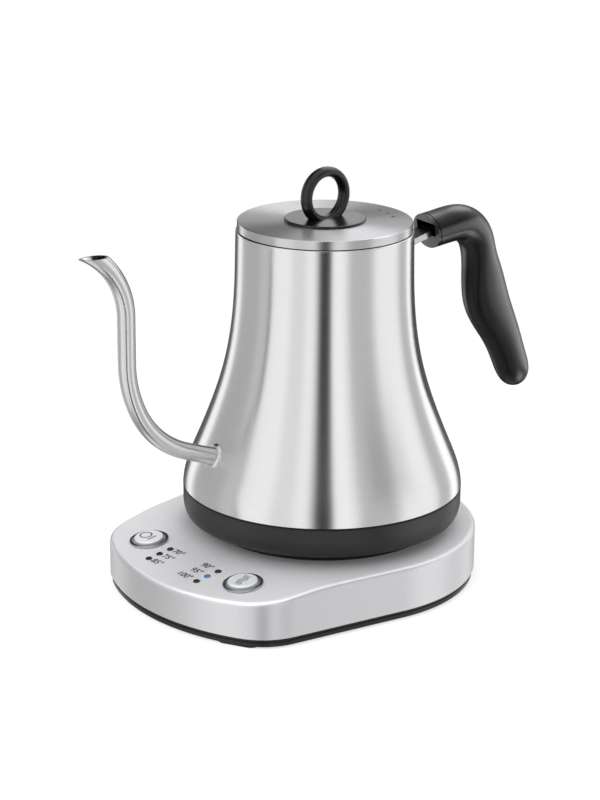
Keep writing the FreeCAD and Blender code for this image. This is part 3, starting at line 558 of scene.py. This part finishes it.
@dataclass
class Vessel:
    """The flared steel vessel with its gooseneck spout."""

    floor_z: float = 48.1
    rim_z: float = 177.4
    wall: float = 0.8
    heights: tuple[float, ...] = (0, 10, 20, 40, 60, 80, 100, 120, 129.3)
    radii: tuple[float, ...] = (70, 68, 64.1, 56.1, 49.8, 46, 44.3, 43.8, 43.6)
    spout_r: float = 4.3
    bore_r: float = 3.6
    root: tuple[float, float] = (-56.0, 68.7)
    heading: float = 160.0
    runs: tuple[tuple[float, float], ...] = ((23.5, 0), (45, -45), (62, -25), (22.4, 0), (38, 72))
    mouth_z: float = 179.2
    collar_r: float = 6.5
    collar_t: float = 1.5
    collar_fit: float = 0.1
    collar_flat: float = 0.5
    collar_bed: float = -0.4
    collar_inset: float = 0.9
    search: tuple[float, float] = (-20.0, 30.0)
    shell_rows: int = 90
    shell_sides: int = 288
    tube_rings: int = 420
    tube_sides: int = 48
    collar_sides: int = 72

    def outline(self, count: int) -> np.ndarray:
        """Points on the outside from the floor to the rim, evenly along a spline through the sizes.

        Args:
            count: how many points.

        Returns:
            Radius and height of each point.
        """
        knots = np.column_stack([self.radii, np.add(self.heights, self.floor_z)])
        reach = np.concatenate([[0], np.cumsum(np.hypot(*np.diff(knots, axis=0).T))])
        return spline(reach, knots, np.linspace(0, reach[-1], count))

    def shell(self) -> bpy.types.Object:
        """The vessel: its outline, a rounded rim and the inside, turned round the upright axis."""
        outside = self.outline(self.shell_rows)
        inside = outside[::-1] - [self.wall, 0]
        lip = self.wall / 2
        turn = np.linspace(0, np.pi, 7)[1:-1]
        rim = np.column_stack([outside[-1, 0] - lip + lip * np.cos(turn),
                               self.rim_z - lip * (1 - np.sin(turn))])
        outside[-1, 1] = inside[0, 1] = self.rim_z - lip
        profile = np.concatenate([outside, rim, inside])
        angle = np.linspace(0, 2 * np.pi, self.shell_sides, endpoint=False)
        r, z = profile[:, :1], profile[:, 1:]
        points = np.stack([r * np.cos(angle), r * np.sin(angle), z + 0 * angle], axis=-1)
        return skin("vessel", points, around=True, along=True)

    def line(self) -> tuple[np.ndarray, np.ndarray, np.ndarray]:
        """The spout's middle line in the XZ plane, as a heading that is straight or turns evenly.

        Returns:
            Length along the line, heading in radians, and the points.
        """
        lengths = [abs(math.radians(turn)) * size if turn else size for size, turn in self.runs]
        stops = np.concatenate([[0], np.cumsum(lengths)])
        turns = self.heading + np.concatenate([[0], np.cumsum([turn for _, turn in self.runs])])
        s = np.linspace(0, stops[-1], 6000)
        heading = np.radians(np.interp(s, stops, turns))
        way = np.column_stack([np.cos(heading), np.sin(heading)])
        step = (way[1:] + way[:-1]) / 2 * (s[1] - s[0])
        return s, heading, np.concatenate([[self.root], self.root + np.cumsum(step, axis=0)])

    def tube(self, radius: float, count: int, around: np.ndarray) -> np.ndarray:
        """Rings of the spout: circles square to its middle line, the last ones leaning to the flat mouth.

        The last bend has its centre on the level where it starts, so a ring line at distance d from that
        centre meets the mouth's level after the arc whose sine is the height left over d.

        Args:
            radius: the circles' radius.
            count: how many rings.
            around: the angles of the points on a circle.

        Returns:
            Rings by angles by 3.
        """
        s, heading, points = self.line()
        bend_r, bend = self.runs[-1]
        start = s[-1] - bend_r * math.radians(bend)
        level = np.interp(start, s, points[:, 1])
        end = start + bend_r * np.arcsin((self.mouth_z - level) / (bend_r + radius * np.cos(around)))
        at = np.linspace(0, 1, count)[:, None] * end[None, :]
        x, z = np.interp(at, s, points[:, 0]), np.interp(at, s, points[:, 1])
        h = np.interp(at, s, heading)
        out = radius * np.cos(around)
        return np.stack([x + out * np.sin(h), radius * np.sin(around) + 0 * x, z - out * np.cos(h)], axis=-1)

    def spout(self) -> bpy.types.Object:
        """The gooseneck: an outer and an inner tube joined at the mouth and at the root."""
        around = np.linspace(0, 2 * np.pi, self.tube_sides, endpoint=False)
        outer = self.tube(self.spout_r, self.tube_rings, around)
        inner = self.tube(self.bore_r, self.tube_rings, around)[::-1]
        return skin("gooseneck", np.concatenate([outer, inner]), around=True, along=True)

    def collar(self) -> bpy.types.Object:
        """The bead round the spout's root: a profile in radius and height, laid on the vessel's outside.

        Each point starts on a line beside the spout's own direction, slides to where that line leaves the
        vessel, found by halving, and goes on by its height.
        """
        around = np.linspace(0, 2 * np.pi, self.collar_sides, endpoint=False)
        bulge = np.linspace(0, np.pi / 2, 9)
        inner_r, t, bed = self.spout_r - self.collar_fit, self.collar_t, self.collar_bed
        round_r = inner_r + self.collar_flat
        round_r = round_r + (self.collar_r - round_r) * np.sin(bulge)
        profile = np.column_stack([np.concatenate([[inner_r, inner_r], round_r, [self.collar_r]]),
                                   np.concatenate([[bed, t * self.collar_inset], t * np.cos(bulge), [bed]])])
        h = math.radians(self.heading)
        way = np.array([math.cos(h), 0, math.sin(h)])
        up = np.array([math.sin(h), 0, -math.cos(h)])
        side = np.array([0, 1.0, 0])
        ring = np.cos(around)[:, None] * up + np.sin(around)[:, None] * side
        start = np.array([self.root[0], 0, self.root[1]]) + profile[:, :1, None] * ring
        shape = self.outline(200)
        low, high = (np.full(start.shape[:2], end) for end in self.search)
        for _ in range(40):
            middle = (low + high) / 2
            at = start + middle[..., None] * way
            outside = np.hypot(at[..., 0], at[..., 1]) > np.interp(at[..., 2], shape[:, 1], shape[:, 0])
            low, high = np.where(outside, low, middle), np.where(outside, middle, high)
        points = start + (low + profile[:, 1:])[..., None] * way
        return skin("gooseneck_collar", points, around=True, along=True)

    def build(self) -> None:
        """Makes the pieces and mounts them."""
        mount(self.shell(), VESSEL_STEEL, "kettle", "vessel_steel", "vessel_shell")
        mount(self.spout(), SPOUT_STEEL, "kettle", "spout_steel", "spout")
        mount(self.collar(), SPOUT_STEEL, "kettle", "spout_steel", "spout_collar")


@dataclass
class Panel:
    """What is printed on the base's sloping control panel, and the painted glow round its lit lens."""

    turn: float = 189.6
    slope: float = 6.1
    bend_s: float = 58.5
    seat_z: float = 27.0
    middle_s: float = 82.2
    row: float = 6.65
    lens_s: float = -0.4
    lens_t: float = 17.2
    button_t: float = 36.4
    button_rise: float = 2.2
    print_rise: float = 0.03
    ring_r: float = 2.9
    ring_x: float = -2.3
    bar_x: float = 2.5
    bar_half: float = 2.7
    power_stroke: float = 0.75
    wave_half: float = 4.6
    wave_swing: float = 0.55
    wave_bends: float = 1.37
    wave_lean: float = -0.17
    wave_gap: float = 1.3
    heat_stroke: float = 1.0
    spill_r: float = 1.6
    spill_reach: float = 2.6
    spill_peak: float = 0.4
    number_size: float = 5.2
    number_lift: float = 0.75
    number_bold: float = 0.12
    number_rise: float = 0.04
    left: tuple[tuple[str, float], ...] = (("70°", -13.9), ("75°", -13.9), ("85°", -13.9))
    right: tuple[tuple[str, float], ...] = (("90°", 8.5), ("95°", 8.5), ("100°", 7.6))

    def plane(self, along: float, side: float, rise: float) -> Matrix:
        """A place on the panel: x to the user's right, y up the slope, z out of it.

        Args:
            along: millimetres down the slope from the panel's middle.
            side: millimetres to the user's right.
            rise: millimetres above the metal.

        Returns:
            The matrix from flat millimetres to the part's frame in metres.
        """
        a = math.radians(self.slope)
        middle_z = self.seat_z - (self.middle_s - self.bend_s) * math.tan(a)
        down = Vector((math.cos(a), 0, -math.sin(a)))
        out = Vector((math.sin(a), 0, math.cos(a)))
        place = Vector((self.middle_s, 0, middle_z)) + along * down + Vector((0, side, 0)) + rise * out
        axes = Matrix((Vector((0, 1, 0)), -down, out)).transposed().to_4x4()
        whole = Matrix.Rotation(math.radians(self.turn), 4, "Z") @ Matrix.Translation(place) @ axes
        return Matrix.Scale(MM, 4) @ whole

    def numbers(self) -> bpy.types.Object:
        """The six temperatures beside their lenses, as one flat mesh of filled letters."""
        merged = bmesh.new()
        for column in (self.left, self.right):
            for row, (word, side) in enumerate(column):
                curve = bpy.data.curves.new("number", "FONT")
                curve.body, curve.size, curve.offset = word, self.number_size, self.number_bold
                curve.align_x, curve.align_y = "CENTER", "CENTER"
                letter = bpy.data.objects.new("number", curve)
                mesh = bpy.data.meshes.new_from_object(letter)
                mesh.transform(self.plane(row * self.row - self.number_lift, side, self.number_rise))
                merged.from_mesh(mesh)
                bpy.data.objects.remove(letter)
                bpy.data.meshes.remove(mesh)
        return settled("panel_numbers", merged)

    def ribbon(self, name: str, paths: list[np.ndarray], width: float, place: Matrix) -> bpy.types.Object:
        """Flat strokes: each path is carried sideways by half the width to both sides.

        Args:
            name: the object's name.
            paths: points of each stroke in the panel's plane.
            width: the stroke's width.
            place: where the plane lies.

        Returns:
            One object with all the strokes.
        """
        merged = bmesh.new()
        for path in paths:
            way = np.gradient(path, axis=0)
            way /= np.linalg.norm(way, axis=1)[:, None]
            off = np.column_stack([-way[:, 1], way[:, 0]]) * width / 2
            flat = np.stack([path + off, path - off], axis=1)
            piece = skin("stroke", np.concatenate([flat, np.zeros((*flat.shape[:2], 1))], axis=-1))
            piece.data.transform(place @ Matrix.Scale(1 / MM, 4))
            merged.from_mesh(piece.data)
            bpy.data.meshes.remove(piece.data)
        bmesh.ops.recalc_face_normals(merged, faces=merged.faces)
        return settled(name, merged)

    def power_icon(self) -> bpy.types.Object:
        """A ring beside an upright bar: the marks for off and on."""
        angle = np.linspace(0, 2 * np.pi, 64)
        ring = np.column_stack([self.ring_r * np.cos(angle) + self.ring_x, self.ring_r * np.sin(angle)])
        bar = np.column_stack([np.full(6, self.bar_x), np.linspace(-self.bar_half, self.bar_half, 6)])
        place = self.plane(0, -self.button_t, self.button_rise + self.print_rise)
        return self.ribbon("power_icon", [ring, bar], self.power_stroke, place)

    def heat_icon(self) -> bpy.types.Object:
        """Three upright waves side by side: a sine's sideways swing over a rising height."""
        rise = np.linspace(-self.wave_half, self.wave_half, 64)
        wave = self.wave_swing * np.sin(rise * self.wave_bends) + self.wave_lean * rise
        paths = [np.column_stack([wave + x, rise]) for x in (-self.wave_gap, 0.0, self.wave_gap)]
        place = self.plane(0, self.button_t, self.button_rise + self.print_rise)
        return self.ribbon("heat_icon", paths, self.heat_stroke, place)

    def spill(self) -> bpy.types.Object:
        """Painted light round the lit lens: a flat glowing ring whose glow fades as the square of the way
        out.
        """
        around = np.linspace(0, 2 * np.pi, 48, endpoint=False)
        share = np.linspace(1, 0, 16)
        r = (self.spill_r + self.spill_reach * share)[:, None]
        flat = np.stack([r * np.cos(around), r * np.sin(around), 0 * r * around], axis=-1)
        piece = skin("lens_light_spill", flat, around=True)
        fade = piece.data.attributes.new("fade", "FLOAT", "POINT")
        fade.data.foreach_set("value", np.repeat(self.spill_peak * (1 - share) ** 2, len(around)))
        place = self.plane(self.lens_s + self.row, self.lens_t, self.print_rise)
        piece.data.transform(place @ Matrix.Scale(1 / MM, 4))
        return piece

    def build(self) -> None:
        """Makes the pieces and mounts them."""
        mount(self.numbers(), NUMBER_INK, "base", "lens_dark")
        mount(self.power_icon(), NUMBER_INK, "power_button", "lens_dark")
        mount(self.heat_icon(), ICON_INK, "temperature_button", "lens_dark")
        # Painted light: a glowing ring on the metal round the lit lens.
        mount(self.spill(), LENS_PAINTED_GLOW, "base", "lens_lit")


@dataclass(frozen=True)
class Card:
    """One card or soft light of the studio, by its direction from the kettle.

    Azimuth is counted from the camera's side, to the right in the picture, and elevation from level.
    """

    name: str
    azimuth: float
    half: float
    soft: float
    level: float
    low: float = -90.0
    high: float = 90.0


@dataclass(frozen=True)
class Lamp:
    """One soft square lamp that looks at the kettle.

    Azimuth and elevation are counted as a card's are. Reach and side are in millimetres, power in watts.
    A lamp with pieces lights only their gloss, and one without lights everything but gloss.
    """

    name: str
    azimuth: float
    elevation: float
    reach: float
    side: float
    power: float
    pieces: tuple[str, ...] = ()


@dataclass
class Studio:
    """Camera, lamps, floor and the ring of cards that the steel reflects."""

    eye: tuple[float, float, float] = (-576.0, -911.2, 446.1)
    facing: float = 58.31
    pitch: float = 18.30
    roll: float = -0.48
    lens: float = 102.33
    sensor: float = 36.0
    sight: float = 20000.0
    ring_r: float = 2500.0
    ring_low: float = -5500.0
    ring_high: float = 4500.0
    wall_level: float = 0.62
    floor_half: float = 6000.0
    floor_z: float = -0.05
    shadow_r: float = 160.0
    white_r: float = 500.0
    shadow_white: float = 0.65
    fill_level: float = 0.55
    aim_z: float = 100.0
    card_edge: float = 12.0
    cards: tuple[Card, ...] = (
        Card("left soft light", -42, 29, 5, 1.16),
        Card("left soft light, dimmer middle", -33, 5, 9, 0.95),
        Card("left frame", -73, 1.5, 3, 0.25, -90, -8),
        Card("left grey wall", -101, 24, 4, 0.55),
        Card("left grey wall, lit edge", -82, 3, 10, 0.68),
        Card("left rim light", -139, 5, 7, 1.25),
        Card("right near light", 18, 11, 8, 1.22),
        Card("right grey wall", 46, 8, 18, 0.66),
        Card("right soft light", 86, 14, 16, 1.15),
        Card("right gap", 118, 4, 8, 0.62),
        Card("right rim light", 137, 6, 6, 1.38),
        Card("dim table", 0, 180, 1, 0.35, -90, -52),
        Card("dark ceiling on the right", 66, 14, 14, 0.25, 26, 40),
        Card("ceiling light behind", 160, 40, 20, 2.2, 36, 90),
        Card("dark ceiling behind on the left", -146, 26, 12, 0.04, 24, 60),
        Card("dark room behind", 180, 32, 4, 0.11, -90, 4),
        Card("dark slit at the camera", 1.0, 5.5, 4, 0.02),
    )
    lamps: tuple[Lamp, ...] = (
        Lamp("key_lamp", -45, 45, 1600, 1200, 26),
        Lamp("fill_lamp", 70, 35, 1800, 1200, 14),
        Lamp("top_lamp", 150, 70, 1500, 1200, 14),
        Lamp("base_top_lamp", -62, 68, 1500, 2000, 20, ("base_cover",)),
        Lamp("handle_side_strip", 104, 3, 1500, 1200, 20, ("handle",)),
        Lamp("handle_near_strip", 62, 3, 1500, 1200, 14, ("handle",)),
        Lamp("handle_top_strip", 155, 46, 1500, 700, 6, ("handle",)),
        Lamp("handle_under_strip", 80, -45, 1500, 700, 9, ("handle",)),
        Lamp("handle_left_strip", -66, -45, 1500, 600, 8, ("handle", "lid_knob")),
        Lamp("handle_face_strip", -117, -25, 1500, 700, 4, ("handle",)),
        Lamp("knob_backdrop", 180, 14, 1500, 700, 1.1, ("lid_knob",)),
        Lamp("button_lamp", -62, 68, 1500, 2000, 23, ("power_button", "temperature_button")),
        Lamp("skirt_left_strip", -75, 8, 1500, 1200, 13, ("skirt",)),
        Lamp("skirt_front_strip", 0, 8, 1500, 1200, 13, ("skirt",)),
        Lamp("skirt_right_strip", 80, 8, 1500, 1200, 20, ("skirt",)),
    )

    def camera(self) -> None:
        """A camera where the photograph was taken from."""
        data = bpy.data.cameras.new("photo_camera")
        data.lens, data.sensor_width = self.lens, self.sensor
        data.clip_end = self.sight * MM
        f, p, r = (math.radians(v) for v in (self.facing, self.pitch, self.roll))
        ahead = Vector((math.cos(f), math.sin(f), 0))
        right = Vector((math.sin(f), -math.cos(f), 0))
        upward = Vector((0, 0, 1))
        look = ahead * math.cos(p) - upward * math.sin(p)
        up = ahead * math.sin(p) + upward * math.cos(p)
        x = right * math.cos(r) - up * math.sin(r)
        y = right * math.sin(r) + up * math.cos(r)
        place = Matrix((x, y, -look)).transposed().to_4x4()
        place.translation = Vector(self.eye) * MM
        camera = bpy.data.objects.new("photo_camera", data)
        camera.matrix_world = place
        bpy.context.scene.collection.objects.link(camera)
        bpy.context.scene.camera = camera

    def lamp(self, lamp: Lamp) -> None:
        """Makes one lamp and tells the renderer what it lights."""
        data = bpy.data.lights.new(lamp.name, "AREA")
        data.shape, data.size, data.energy = "SQUARE", lamp.side * MM, lamp.power
        a, e = math.radians(self.facing + 180 + lamp.azimuth), math.radians(lamp.elevation)
        way = Vector((math.cos(e) * math.cos(a), math.cos(e) * math.sin(a), math.sin(e)))
        aim = Vector((0, 0, self.aim_z))
        made = bpy.data.objects.new(lamp.name, data)
        made.matrix_world = Matrix.Translation((way * lamp.reach + aim) * MM) @ \
            way.to_track_quat("Z", "Y").to_matrix().to_4x4()
        made.visible_glossy = bool(lamp.pieces)
        made.visible_diffuse = not lamp.pieces
        if lamp.pieces:
            lit = bpy.data.collections.new(lamp.name + "_lights")
            for piece in lamp.pieces:
                lit.objects.link(bpy.data.objects[piece])
            made.light_linking.receiver_collection = lit
            made.light_linking.blocker_collection = lit
        bpy.context.scene.collection.objects.link(made)

    def ring(self) -> None:
        """The ring of cards: an upright cylinder whose glow at each point is worked out from the cards.

        Each card pulls the level towards its own by a share that is one inside it and falls to nothing
        over its soft edge, in azimuth and in elevation.
        """
        offset = np.linspace(-180, 180, 1440, endpoint=False)
        height = np.linspace(self.ring_low, self.ring_high, 90)
        azimuth, z = np.meshgrid(offset, height)
        elevation = np.degrees(np.arctan2(z - self.aim_z, self.ring_r))
        level = np.full_like(azimuth, self.wall_level)
        for card in self.cards:
            gap = np.abs((azimuth - card.azimuth + 180) % 360 - 180)
            share = 1 - smooth_step(card.half, card.half + card.soft, gap)
            share *= 1 - smooth_step(card.high, card.high + self.card_edge, elevation)
            share *= smooth_step(card.low - self.card_edge, card.low, elevation)
            level += share * (card.level - level)
        a = np.radians(self.facing + 180 + azimuth)
        points = np.stack([self.ring_r * np.cos(a), self.ring_r * np.sin(a), z], axis=-1)
        ring = skin("studio_ring", points, around=True)
        glow = ring.data.attributes.new("glow", "FLOAT", "POINT")
        glow.data.foreach_set("value", level.reshape(-1))
        material = bpy.data.materials.new("studio_cards")
        material.use_nodes = True
        tree = material.node_tree
        tree.nodes.clear()
        read = add(tree, "Attribute", attribute_name="glow")
        light = add(tree, "Emission", {"Color": linear("#ffffff"), "Strength": read.outputs["Fac"]})
        add(tree, "OutputMaterial", {"Surface": light.outputs[0]})
        ring.data.materials.append(material)
        ring.visible_camera = ring.visible_diffuse = ring.visible_shadow = False
        ring.visible_transmission = ring.visible_volume_scatter = False

    def floor(self) -> None:
        """A wide pale floor with a soft shadow near the kettle, white to the camera further out."""
        side = np.linspace(-self.floor_half, self.floor_half, 3)
        x, y = np.meshgrid(side, side)
        floor = skin("studio_floor", np.stack([x, y, np.full_like(x, self.floor_z)], axis=-1))
        material = bpy.data.materials.new("pale_floor_paper")
        material.use_nodes = True
        tree = material.node_tree
        shader = tree.nodes["Principled BSDF"]
        shader.inputs["Roughness"].default_value = 0.9
        shader.inputs["Specular IOR Level"].default_value = 0.0
        shader.inputs["Base Color"].default_value = linear("#f6f6f6")
        path = add(tree, "LightPath")
        place = add(tree, "TexCoord")
        away = add(tree, "VectorMath", {0: place.outputs["Object"]}, operation="LENGTH")
        clear = add(tree, "MapRange", {"Value": away.outputs["Value"], "From Min": self.shadow_r * MM,
                                       "From Max": self.white_r * MM, "To Min": self.shadow_white,
                                       "To Max": 1.0})
        share = add(tree, "Math", {0: path.outputs["Is Camera Ray"], 1: clear.outputs["Result"]},
                    operation="MULTIPLY")
        white = add(tree, "Emission", {"Color": linear("#ffffff"), "Strength": 1.0})
        both = add(tree, "MixShader", {0: share.outputs[0], 1: shader.outputs[0], 2: white.outputs[0]})
        tree.links.new(both.outputs[0], tree.nodes["Material Output"].inputs["Surface"])
        floor.data.materials.append(material)
        floor.visible_glossy = False

    def world(self) -> None:
        """White for the camera, for metal and for clear pieces, and a plain even light for the rest."""
        world = bpy.data.worlds.new("pale_studio")
        bpy.context.scene.world = world
        world.use_nodes = True
        tree = world.node_tree
        path = add(tree, "LightPath")
        seen = add(tree, "Math", {0: path.outputs["Is Camera Ray"], 1: path.outputs["Is Glossy Ray"]},
                   operation="MAXIMUM")
        clear = add(tree, "Math", {0: seen.outputs[0], 1: path.outputs["Is Transmission Ray"]},
                    operation="MAXIMUM")
        level = add(tree, "MapRange", {"Value": clear.outputs[0], "To Min": self.fill_level, "To Max": 1.0})
        back = tree.nodes["Background"]
        back.inputs["Color"].default_value = linear("#ffffff")
        tree.links.new(level.outputs["Result"], back.inputs["Strength"])

    def build(self) -> None:
        """Sets up everything that isn't the object."""
        view = bpy.context.scene.view_settings
        view.view_transform = "Standard"
        self.camera()
        self.world()
        self.floor()
        self.ring()
        for lamp in self.lamps:
            self.lamp(lamp)
        log.info("studio: %d cards, %d lamps", len(self.cards), len(self.lamps))


def main() -> None:
    """Loads the part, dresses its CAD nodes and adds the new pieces."""
    logging.basicConfig(level=logging.INFO, format="%(name)s: %(message)s")
    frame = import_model()
    Studio().build()
    for name, node in frame["nodes"].items():
        dress(node, CAD_FINISHES[name])
        log.info("%s: %s", name, CAD_FINISHES[name].name)
    Vessel().build()
    Panel().build()


if __name__ == "__main__":
    main()
